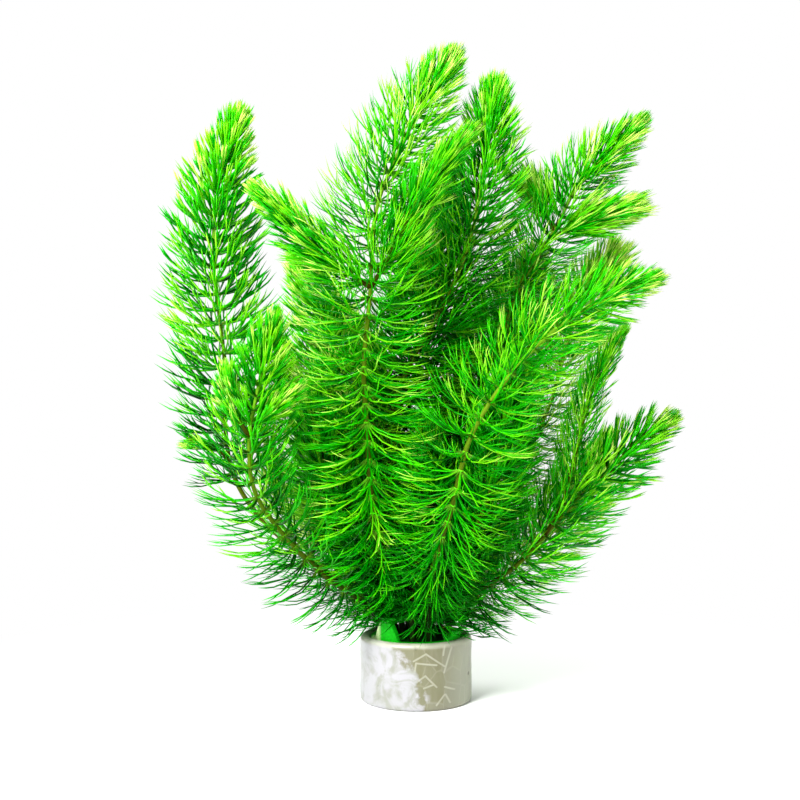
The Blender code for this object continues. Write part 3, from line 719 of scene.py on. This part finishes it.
def stalk_tree():
    """A round stalk along a route, narrower towards its tip."""
    tree, start, curve, length = route_tree("stalk", {
        "Radius": "Float", "Tip radius": "Float", "Tip cut": "Float"})
    trimmed = node(tree, "GeometryNodeTrimCurve", {
        "Curve": curve, 5: length - start["Tip cut"]}, mode="LENGTH")
    even = node(tree, "GeometryNodeResampleCurve", {"Curve": trimmed, "Length": ROUTE_STEP}, mode="LENGTH")
    factor = node(tree, "GeometryNodeSplineParameter", key="Factor")
    radius = start["Radius"] + factor * (start["Tip radius"] - start["Radius"])
    sized = store(tree, store(tree, even, "along", factor, "POINT"), "thickness", radius, "POINT")
    ring = node(tree, "GeometryNodeCurvePrimitiveCircle", {"Resolution": STALK_SIDES, "Radius": 1.0})
    skin = node(tree, "GeometryNodeCurveToMesh", {
        "Curve": sized, "Profile Curve": ring, "Scale": read(tree, "thickness"), "Fill Caps": True})
    skin = node(tree, "GeometryNodeRemoveAttribute", {"Geometry": skin, "Name": "thickness"})
    end_tree(tree, skin, start["Material"])
    return tree


# Ring and foam

def arc(radius, height, size, start, end, steps):
    """Points (radius, height) on an arc round a point of the profile, between two angles in degrees."""
    turns = [math.radians(start + (end - start) * i / steps) for i in range(steps + 1)]
    return [(radius + size * math.cos(turn), height + size * math.sin(turn)) for turn in turns]


def straight(radius, low, high, steps):
    """Points between the ends of a vertical stretch of the profile."""
    return [(radius, low + (high - low) * i / steps) for i in range(1, steps)]


def bridge(shape, rings):
    """Faces between consecutive rings of points."""
    for low, high in zip(rings, rings[1:]):
        for i in range(len(low)):
            j = (i + 1) % len(low)
            shape.faces.new((low[i], low[j], high[j], high[i]))


def finish_piece(shape, name, material):
    """Turn a bmesh into a smooth object that replaces the CAD node of its name."""
    piece = new_object(name + "_detailed", finish_mesh(shape, name, material))
    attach(piece, "root")
    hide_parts(name)
    return piece


def turned(profile, steps, shift):
    """A profile turned round Z: the bmesh and its rings of points. shift moves single points."""
    shape = bmesh.new()
    rings = []
    for point in profile:
        ring = []
        for i in range(steps):
            turn = math.tau * i / steps
            radius, height = shift(*point, turn)
            ring.append(shape.verts.new((radius * math.cos(turn), radius * math.sin(turn), height)))
        rings.append(ring)
    return shape, rings


def wavy(radius, height, turn):
    """A point of the ring on its uneven surface. The foot stays flat."""
    spot = Vector((math.cos(turn), math.sin(turn), height / RING_OUTER))
    waves = noise.noise(spot * BROAD_WAVES) + FINE_SHARE * noise.noise(spot * FINE_WAVES) - WAVE_SINK
    wave = RING_WAVE * min(height / RING_FOOT, 1.0) * waves
    return radius + wave, height + (wave if height > RING_HEIGHT - RING_RIM else 0.0)


def make_ring(material):
    """The ceramic ring: a turned wall with a rounded rim, a little uneven."""
    top, low = RING_HEIGHT - RING_RIM, RING_FOOT
    profile = [
        *straight(RING_OUTER, low, top, RING_WALL_STEPS),
        *arc(RING_OUTER - RING_RIM, top, RING_RIM, 0, 90, RIM_STEPS),
        *arc(RING_INNER + RING_RIM, top, RING_RIM, 90, 180, RIM_STEPS),
        *straight(RING_INNER, top, low, RING_WALL_STEPS),
        *arc(RING_INNER + RING_FOOT, low, RING_FOOT, 180, 270, EDGE_STEPS),
        *arc(RING_OUTER - RING_FOOT, low, RING_FOOT, 270, 360, EDGE_STEPS)]
    shape, rings = turned(profile, RING_STEPS, wavy)
    bridge(shape, rings + rings[:1])
    finish_piece(shape, "ring", material)


def with_tongues(radius, height, turn):
    """A point of the foam. A height of 0 or less is counted from the lip, which rises at the tongues."""
    if height > 0.0:
        return radius, height
    height += FOAM_LIP
    for middle, half_width, rise in FOAM_TONGUES:
        away = abs((math.degrees(turn) - middle + 180.0) % 360.0 - 180.0)
        if away < half_width:
            height += rise * math.cos(math.pi / 2 * away / half_width) ** TONGUE_FULLNESS
    return radius, height


def make_foam(material):
    """The foam plug with its raised outer turn and tongues."""
    rounding, inner = FOAM_LIP_ROUND, FOAM_LIP_INNER
    profile = [
        (FOAM_RADIUS, FOAM_BOTTOM),
        *straight(FOAM_RADIUS, FOAM_BOTTOM, FOAM_TOP - rounding, FOAM_WALL_STEPS),
        *arc(FOAM_RADIUS - rounding, -rounding, rounding, 0, 90, EDGE_STEPS),
        *arc(inner + rounding, -rounding, rounding, 90, 180, EDGE_STEPS),
        *((inner * share, FOAM_TOP) for share in FOAM_TOP_RINGS)]
    shape, rings = turned(profile, FOAM_STEPS, with_tongues)
    bridge(shape, rings)
    shape.faces.new(list(reversed(rings[0])))
    shape.faces.new(rings[-1])
    finish_piece(shape, "foam", material)


# Materials

def new_material(name, roughness, specular=0.5):
    """A material with a Principled shader; returns it with its tree and shader."""
    material = bpy.data.materials.new(name)
    material.use_nodes = True
    tree = material.node_tree
    shader = tree.nodes["Principled BSDF"]
    shader.inputs["Roughness"].default_value = roughness
    shader.inputs["Specular IOR Level"].default_value = specular
    return material, tree, shader


def object_place(tree):
    """A point's place on the object."""
    return node(tree, "ShaderNodeTexCoord", key="Object")


def mix_shaders(tree, share, shader, other):
    """Put out a shader with a share of another one."""
    blend = node(tree, "ShaderNodeMixShader", {0: share, 1: Output(shader.outputs[0]), 2: other})
    connect(blend, tree.nodes["Material Output"].inputs["Surface"])


def add_relief(tree, shader, height, distance, strength):
    """Show a height as relief."""
    bump = node(tree, "ShaderNodeBump", {"Height": height, "Distance": distance, "Strength": strength})
    connect(bump, shader.inputs["Normal"])


def ramp(tree, factor, stops):
    """A Color Ramp's colour output; stops are (place, (r, g, b))."""
    made = add_node(tree, "ShaderNodeValToRGB", {"Fac": factor})
    band = made.color_ramp
    while len(band.elements) < len(stops):
        band.elements.new(0.5)
    for element, (place, colour) in zip(band.elements, stops):
        element.position = place
        element.color = (*colour, 1.0)
    return Output(made.outputs["Color"])


def mix_colour(tree, share, first, second):
    """The first colour with a share of the second."""
    first, second = ((*colour, 1.0) if isinstance(colour, tuple) else colour for colour in (first, second))
    return node(tree, "ShaderNodeMix", {0: share, 6: first, 7: second}, 2, data_type="RGBA")


def mottle_group():
    """A shader group: cloudy patches in object space, as a value from 0 to 1."""
    group, start = new_group("mottle", "ShaderNodeTree", {
        "Size": "Float", "Stretch": "Vector", "Swirl": "Float", "Low": "Float", "High": "Float"},
        ("Value", "Float"))
    stretched = object_place(group).vector_calc("MULTIPLY", start["Stretch"])
    cloud = node(group, "ShaderNodeTexNoise", {
        "Vector": stretched, "Scale": 1.0 / start["Size"], "Detail": 4.0, "Roughness": 0.55,
        "Distortion": start["Swirl"]}, "Fac")
    add_node(group, "NodeGroupOutput", {"Value": cloud.step(start["Low"], start["High"])})
    return group


def mottle(tree, group, size, stretch=(1.0, 1.0, 1.0), swirl=0.0, low=0.35, high=0.65):
    """Cloudy patches of a size from the mottle group."""
    return node(tree, "ShaderNodeGroup", {
        "Size": size, "Stretch": stretch, "Swirl": swirl, "Low": low, "High": high}, node_tree=group)


# Leaf colours from darkest to palest green, each at its tone; the darkest is partly painted shade, the
# palest partly painted highlight
LEAF_STOPS = (
    (0.0, (0.0, 0.07, 0.0)), (0.3, (0.0, 0.35, 0.0)), (0.56, (0.03, 0.64, 0.0)),
    (0.82, (0.25, 0.78, 0.006)), (1.0, (0.68, 0.93, 0.16)))
LEAF_FOOT = (0.40, 0.78, 0.05)
LEAF_FOOT_SHARE = 0.55
LEAF_FOOT_SPAN = (0.02, 0.16)     # stretch along the leaf over which the colour of its foot fades
LEAF_MIDDLE = 0.45            # a leaf has its own tone here along it
LEAF_LIFT = 0.36              # change of tone from a leaf's foot to its tips
LEAF_GLOW = 0.3               # share of the shader that lets light through


def leaf_material():
    """Fresh green leaves: tone from leaf to leaf, pale at the foot and lighter towards their tips."""
    material, tree, shader = new_material("leaf", 0.28, 0.14)
    tone, along, _ = node(tree, "ShaderNodeUVMap", uv_map="OFBake").parts()
    colour = ramp(tree, (tone + (along - LEAF_MIDDLE) * LEAF_LIFT).clamp(), LEAF_STOPS)
    colour = mix_colour(tree, along.step(*LEAF_FOOT_SPAN, LEAF_FOOT_SHARE, 0.0), colour, LEAF_FOOT)
    connect(colour, shader.inputs["Base Color"])
    mix_shaders(tree, LEAF_GLOW, shader, node(tree, "ShaderNodeBsdfTranslucent", {"Color": colour}))
    return material


# Stalk colours from olive brown to green, each at its place along the stalk
STALK_STOPS = (
    (0.0, (0.035, 0.032, 0.001)), (0.35, (0.040, 0.062, 0.001)), (0.7, (0.10, 0.22, 0.003)),
    (1.0, (0.20, 0.58, 0.02)))
STALK_STREAK = (0.12, 0.20, 0.01)
STREAK_SHARE = 0.4
STALK_SHADE = (0.002, 0.014, 0.001)
SHADE_SHARE = 0.92            # painted shade: stalks are nearly black low down in the bunch, where the leaves shade them
SHADE_HEIGHTS = (26.0 * MM, 52.0 * MM)


def stalk_material(group):
    """Stalks: dark olive brown low down, green higher up, with faint streaks, and painted shade that makes
    them nearly black low in the bunch.
    """
    material, tree, shader = new_material("stalk", 0.5, 0.03)
    along = node(tree, "ShaderNodeAttribute", key="Fac", attribute_name="along")
    streaks = mottle(tree, group, 1.2 * MM, stretch=(1.0, 1.0, 0.15))
    colour = mix_colour(tree, streaks * along * STREAK_SHARE, ramp(tree, along, STALK_STOPS), STALK_STREAK)
    # Painted shade low in the bunch: the stalks turn nearly black there
    painted_bunch_shade = object_place(tree).parts()[2].step(*SHADE_HEIGHTS, SHADE_SHARE, 0.0)
    colour = mix_colour(tree, painted_bunch_shade, colour, STALK_SHADE)
    connect(colour, shader.inputs["Base Color"])
    return material


CERAMIC_WHITE = (0.305, 0.30, 0.315)
CERAMIC_SHADE = (0.212, 0.217, 0.185)
CERAMIC_FOLD = (0.20, 0.20, 0.16)
CERAMIC_BEIGE = (0.115, 0.11, 0.05)
CERAMIC_GREY = (0.262, 0.272, 0.19)
CERAMIC_CREAM = (0.39, 0.39, 0.31)
CERAMIC_PIT_SHADE = (0.07, 0.065, 0.03)
GREY_SPAN = (8.0 * MM, 17.0 * MM)     # the beige side turns grey over this stretch of x
FACET_SCALE = 180.0           # facets of the beige side to a metre
FACET_SLANT = math.radians(38.0)
FACET_STRETCH = (1.0, 1.0, 0.6)
PIT_SCALE = 170.0             # places for a pit to a metre
PIT_FROM = 0.78               # only places with a random value above this have a pit
PIT_EDGE = (0.07, 0.16)
CRACK_EDGE = (0.01, 0.05)
# Shares that the facets' painted light and shade, streaks, cracks, creases and the cream rim have of their
# colours
FACET_SHADING_SHARE = 0.35
GLAZE_STREAK_SHARE = 0.15
CRACK_SHARE = 0.25
CREASE_SHARE = 0.42
RIM_SHARE = 0.75
RIM_DEPTHS = (2.0 * MM, 0.8 * MM)     # the rim turns cream from the first depth below the top and is fully cream from the second
# The border between white and beige: x at the foot, way to the left up to BORDER_HEIGHT, its curve, half
# width of the soft edge, and how far patches shift it
BORDER_FOOT = 2.0 * MM
BORDER_WAY = 9.5 * MM
BORDER_HEIGHT = 20.0 * MM
BORDER_CURVE = 2.2
BORDER_SOFTNESS = 1.6 * MM
BORDER_FRAY = 4.0 * MM
# Creases on the beige side as seen from the front: x and z of both ends in millimetres
CREASES = (
    ((-1.0, 16.5), (3.0, 18.8)), ((3.0, 18.8), (9.2, 14.4)), ((-0.2, 15.9), (6.5, 15.0)),
    ((11.5, 20.3), (9.0, 12.4)), ((9.2, 21.0), (8.7, 18.1)), ((-0.5, 9.4), (2.8, 11.7)),
    ((2.8, 11.7), (6.5, 7.9)), ((2.3, 7.7), (5.3, 8.7)), ((-0.7, 12.7), (-0.2, 15.9)),
    ((6.5, 2.0), (9.2, 5.2)), ((9.2, 7.7), (12.4, 6.5)), ((9.5, 5.2), (11.0, 2.5)),
)
CREASE_WIDTH = 0.45 * MM
CREASE_CORE = 0.3             # part of the width that has the full colour
CREASE_RISE = 0.4             # height of a crease, for a pit of depth 1


def crease_group():
    """A shader group: a soft straight line seen from the front, as a value from 0 to 1."""
    group, start = new_group("crease", "ShaderNodeTree", {
        "Start": "Vector", "Along": "Vector", "Width": "Float"}, ("Value", "Float"))
    place = object_place(group)
    gone = place.vector_calc("MULTIPLY", (1.0, 0.0, 1.0)).vector_calc("SUBTRACT", start["Start"])
    along, whole = (first.vector_calc("DOT_PRODUCT", start["Along"]) for first in (gone, start["Along"]))
    away = gone.vector_calc("DISTANCE", start["Along"].scaled((along / whole).clamp()))
    front = place.parts()[1].calc("LESS_THAN", 0.0)
    seen = (away / start["Width"]).step(CREASE_CORE, 1.0, 1.0, 0.0) * front
    add_node(group, "NodeGroupOutput", {"Value": seen})
    return group


def front_creases(tree):
    """All creases of the beige side in one mask."""
    group = crease_group()
    mask = 0.0
    for (x, z), (far_x, far_z) in CREASES:
        crease = node(tree, "ShaderNodeGroup", {
            "Start": (x * MM, 0.0, z * MM), "Along": ((far_x - x) * MM, 0.0, (far_z - z) * MM),
            "Width": CREASE_WIDTH}, node_tree=group)
        mask = crease.calc("MAXIMUM", mask)
    return mask


def ring_material(group):
    """Glazed ceramic: white with soft folds on one side, beige with cream creases, facets with painted light
    and shade and pits darkened with painted shade on the other.
    """
    material, tree, shader = new_material("ceramic", 0.32)
    place = object_place(tree)
    x, _, z = place.parts()

    # White side: clouds and folds
    clouds = mottle(tree, group, 9.0 * MM, swirl=1.8, low=0.30, high=0.58)
    white = mix_colour(tree, clouds, CERAMIC_SHADE, CERAMIC_WHITE)

    # Beige side: greyer at its far end, with facets painted lighter at random as painted light and shade,
    # and upright streaks
    beige = mix_colour(tree, x.step(*GREY_SPAN), CERAMIC_BEIGE, CERAMIC_GREY)
    slanted = node(tree, "ShaderNodeMapping", {
        "Vector": place, "Rotation": (0.0, FACET_SLANT, 0.0), "Scale": FACET_STRETCH})
    facets = node(tree, "ShaderNodeTexVoronoi", {"Vector": slanted, "Scale": FACET_SCALE}, "Color")
    beige = mix_colour(tree, facets.parts()[0] * FACET_SHADING_SHARE, beige, CERAMIC_FOLD)
    streaks = mottle(tree, group, 1.2 * MM, stretch=(1.0, 1.0, 0.2), low=0.3, high=0.7)
    beige = mix_colour(tree, streaks * GLAZE_STREAK_SHARE, beige, CERAMIC_FOLD)

    # Cream creases, with faint cracks here and there, and pits darkened with painted shade
    edge = node(tree, "ShaderNodeTexVoronoi", {"Vector": slanted, "Scale": FACET_SCALE}, "Distance",
                feature="DISTANCE_TO_EDGE")
    some = mottle(tree, group, 7.0 * MM, low=0.40, high=0.52)
    cracks = edge.step(*CRACK_EDGE, 1.0, 0.0) * some
    lines = (cracks * CRACK_SHARE).calc("MAXIMUM", front_creases(tree))
    beige = mix_colour(tree, lines * CREASE_SHARE, beige, CERAMIC_CREAM)
    spots = add_node(tree, "ShaderNodeTexVoronoi", {"Vector": place, "Scale": PIT_SCALE}).outputs
    chosen = Output(spots["Color"]).parts()[0].calc("GREATER_THAN", PIT_FROM)
    pits = Output(spots["Distance"]).step(*PIT_EDGE, 1.0, 0.0) * chosen
    beige = mix_colour(tree, pits, beige, CERAMIC_PIT_SHADE)

    # The border between the sides runs down to the right
    border = BORDER_FOOT - (z / BORDER_HEIGHT).calc("POWER", BORDER_CURVE) * BORDER_WAY
    beyond = (x - border) + (mottle(tree, group, 4.0 * MM) - 0.5) * BORDER_FRAY
    colour = mix_colour(tree, beyond.step(-BORDER_SOFTNESS, BORDER_SOFTNESS), white, beige)
    rim = z.step(*(RING_HEIGHT - depth for depth in RIM_DEPTHS))
    colour = mix_colour(tree, rim * RIM_SHARE, colour, CERAMIC_CREAM)
    connect(colour, shader.inputs["Base Color"])
    add_relief(tree, shader, lines * CREASE_RISE - pits, 0.3 * MM, 0.6)
    return material


FOAM_GREEN = (0.0, 0.40, 0.002)
# FOAM_DARK is the dark green of the pores, and also the painted shade inside the lip
FOAM_DARK = (0.002, 0.10, 0.002)
FOAM_CREAM = (0.55, 0.75, 0.35)
FOAM_CREAM_END = 221.0        # the outer turn is cream up to this angle in degrees, on the left tongue
FOAM_CREAM_FADES = (0.3, 0.12)    # angles in radians over which the cream comes and goes
FOAM_PORE_SHARE = 0.25


def foam_material(group):
    """Bright green foam, cream along the left edge of the tall tongue, with painted shade that darkens it
    inside the lip, between the stems.
    """
    material, tree, shader = new_material("foam", 0.6, 0.15)
    x, y, _ = object_place(tree).parts()
    angle = (-y).calc("ARCTAN2", -x)
    far = math.radians(FOAM_CREAM_END - 180.0)
    comes, goes = FOAM_CREAM_FADES
    cream = angle.step(far - goes, far, 1.0, 0.0) * angle.step(0.0, comes)
    # Painted shade: inside the lip, under the stems, the foam is dark
    outer = (x * x + y * y).calc("SQRT").step(FOAM_LIP_INNER - 1.0 * MM, FOAM_LIP_INNER + 0.6 * MM)
    pores = mottle(tree, group, 0.8 * MM, low=0.4, high=0.6)
    green = mix_colour(tree, pores * FOAM_PORE_SHARE, FOAM_GREEN, FOAM_DARK)
    colour = mix_colour(tree, outer, FOAM_DARK, mix_colour(tree, cream, green, FOAM_CREAM))
    connect(colour, shader.inputs["Base Color"])
    add_relief(tree, shader, pores, 0.1 * MM, 0.4)
    return material


# Camera and lights

CAMERA_PLACE = (-5.4 * MM, -400.0 * MM, 101.2 * MM)
CAMERA_LENS = 52.95
# Strength of the surroundings as a light and in reflections; the camera sees them at full white
AMBIENT = 0.28
MIRRORED = 0.06
FLOOR_GREY = 0.85
FLOOR_HALF = 3.0              # half of the floor's width in metres
FLOOR_FADE = (0.03, 0.2)      # the floor fades between these distances from the ring's axis
LIT_POINT = (0.0, 0.0, 0.11)
# Lights: place, size and power
LIGHTS = {
    "key": ((-0.42, -0.56, 0.7), 0.35, 24.5),
    "fill": ((0.5, -0.7, 0.15), 0.5, 4.0),
    "back": ((0.15, 0.6, 0.75), 0.5, 10.0),
}
PURE_WHITE = (1.0, 1.0, 1.0, 1.0)


def make_camera():
    """The photograph's view: level, a little left of the ring's axis, halfway up the bunch."""
    data = bpy.data.cameras.new("camera")
    data.lens = CAMERA_LENS
    data.sensor_width = 36.0
    camera = new_object("camera", data)
    camera.location = CAMERA_PLACE
    camera.rotation_euler = (math.radians(90.0), 0.0, 0.0)
    bpy.context.scene.camera = camera


def area_light(name, place, size, power):
    """A soft square light aimed at the bunch."""
    data = bpy.data.lights.new(name, "AREA")
    data.size = size
    data.energy = power
    light = new_object(name, data)
    light.location = place
    light.rotation_euler = (Vector(LIT_POINT) - Vector(place)).to_track_quat("-Z", "Y").to_euler()


def light_path(tree, question):
    """1 for rays of a kind, 0 for others."""
    return node(tree, "ShaderNodeLightPath", key=question)


def make_world():
    """White surroundings that light the plants less than they show."""
    world = bpy.data.worlds.new("surroundings")
    world.use_nodes = True
    tree = world.node_tree
    back = tree.nodes["Background"]
    back.inputs["Color"].default_value = PURE_WHITE
    lit = light_path(tree, "Is Diffuse Ray") * (AMBIENT - MIRRORED) + MIRRORED
    connect(light_path(tree, "Is Camera Ray") * (1.0 - MIRRORED) + lit, back.inputs["Strength"])
    bpy.context.scene.world = world


def floor_material():
    """Pale floor that fades into the white surroundings."""
    material, tree, shader = new_material("floor", 0.9)
    shader.inputs["Base Color"].default_value = (FLOOR_GREY, FLOOR_GREY, FLOOR_GREY, 1.0)
    glow = node(tree, "ShaderNodeEmission", {"Color": PURE_WHITE, "Strength": 1.0})
    fade = object_place(tree).vector_calc("LENGTH").step(*FLOOR_FADE) * light_path(tree, "Is Camera Ray")
    mix_shaders(tree, fade, shader, glow)
    return material


def make_stage():
    """Pale floor, white surroundings and soft lights, the strongest from the upper left."""
    make_world()
    bpy.context.scene.view_settings.view_transform = "Standard"
    shape = bmesh.new()
    bmesh.ops.create_grid(shape, x_segments=1, y_segments=1, size=FLOOR_HALF)
    new_object("floor", finish_mesh(shape, "floor", floor_material()))
    for name, (place, size, power) in LIGHTS.items():
        area_light(name, place, size, power)


# Putting it together

def make_plants(group, rng):
    """Stalk and leaves of every shoot."""
    leaf_finish = leaf_material()
    stalk_finish = stalk_material(group)
    forms = {label: make_leaf_forms(label, width, leaf_finish, rng) for label, width in LEAF_WIDTHS.items()}
    whorls = whorl_tree()
    stalks = stalk_tree()
    routes = {name: stem_route(circle, angle, way) for name, (circle, angle, _, way) in STEMS.items()}
    reaches = {name: reach for name, (_, _, reach, _) in STEMS.items()}
    for name, (parent, reach, way) in BRANCHES.items():
        routes[name] = branch_route(routes[parent], way)
        reaches[name] = reach
    for number, (name, route) in enumerate(routes.items()):
        main = name in STEMS
        radii = {"Radius": STALK_RADIUS if main else BRANCH_RADIUS, "Tip radius": STALK_TIP_RADIUS}
        look = {**WHORLS, **({} if main else SIDE_SHOOT), **LOOKS.get(name, {})}
        leaf_forms = forms[look.pop("Forms", "fine")]
        look["Leaf length"] *= reaches[name]
        look["Tone"] += rng.uniform(-TONE_STRAY, TONE_STRAY)
        settings = {label: value * UNITS.get(label, 1) for label, value in look.items()}
        leafage = run_tree(name + "_leaves", route, whorls, {
            **settings, **radii, "Leaf forms": leaf_forms, "Seed": number + 1}, leaf_finish)
        stalk = run_tree(name + "_stalk", route, stalks, {**radii, "Tip cut": STALK_END}, stalk_finish)
        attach(leafage, "root")
        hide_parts(name)
        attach(stalk, "root")
    for collection in forms.values():
        for form in list(collection.objects):
            bpy.data.objects.remove(form)
        bpy.data.collections.remove(collection)


rng = random.Random(SEED)
make_camera()
make_stage()
patches = mottle_group()
make_ring(ring_material(patches))
make_foam(foam_material(patches))
make_plants(patches, rng)
